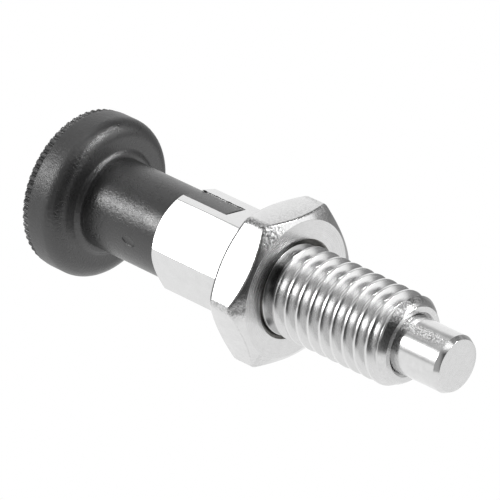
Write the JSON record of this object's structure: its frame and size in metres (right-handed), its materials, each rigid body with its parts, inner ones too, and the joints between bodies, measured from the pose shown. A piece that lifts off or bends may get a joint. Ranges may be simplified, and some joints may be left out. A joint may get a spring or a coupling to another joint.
{
  "type": "indexing plunger",
  "caption": "Indexing plunger with rest position: sprung steel pin in a threaded sleeve with a slotted hexagon collar, thin lock nut and black ribbed mushroom grip.",
  "frame": {"origin": "on the plunger's axis, in the plane of the lock nut's front face, which bears on the plate that the sleeve is screwed into", "axes": "+X along the axis towards the pin's tip, +Z the outward normal of the collar flat that carries the upper slot, +Y across it"},
  "size_m": [0.0431, 0.0144, 0.0142],
  "materials": {
    "steel": "bright turned and milled stainless steel",
    "ground_steel": "ground, fine circumferential lines",
    "spring_steel": "drawn wire",
    "black_plastic": "matt, fine spark-eroded grain"
  },
  "bodies": {
    "sleeve": {"threaded_sleeve": "steel", "compression_spring": "spring_steel"},
    "plunger": {"indexing_pin": "ground_steel", "grip": "black_plastic"},
    "nut": {"lock_nut": "steel"}
  },
  "joints": [
    {"name": "pull", "type": "slide", "parent": "sleeve", "child": "plunger", "axis": [-1, 0, 0], "range_m": [0, 0.0052], "stiffness_N_per_m": 1190, "springref_m": -0.0038, "deforming": ["compression_spring"]},
    {"name": "nut_travel", "type": "slide", "parent": "sleeve", "child": "nut", "axis": [1, 0, 0], "range_m": [0, 0.01125]}
  ]
}
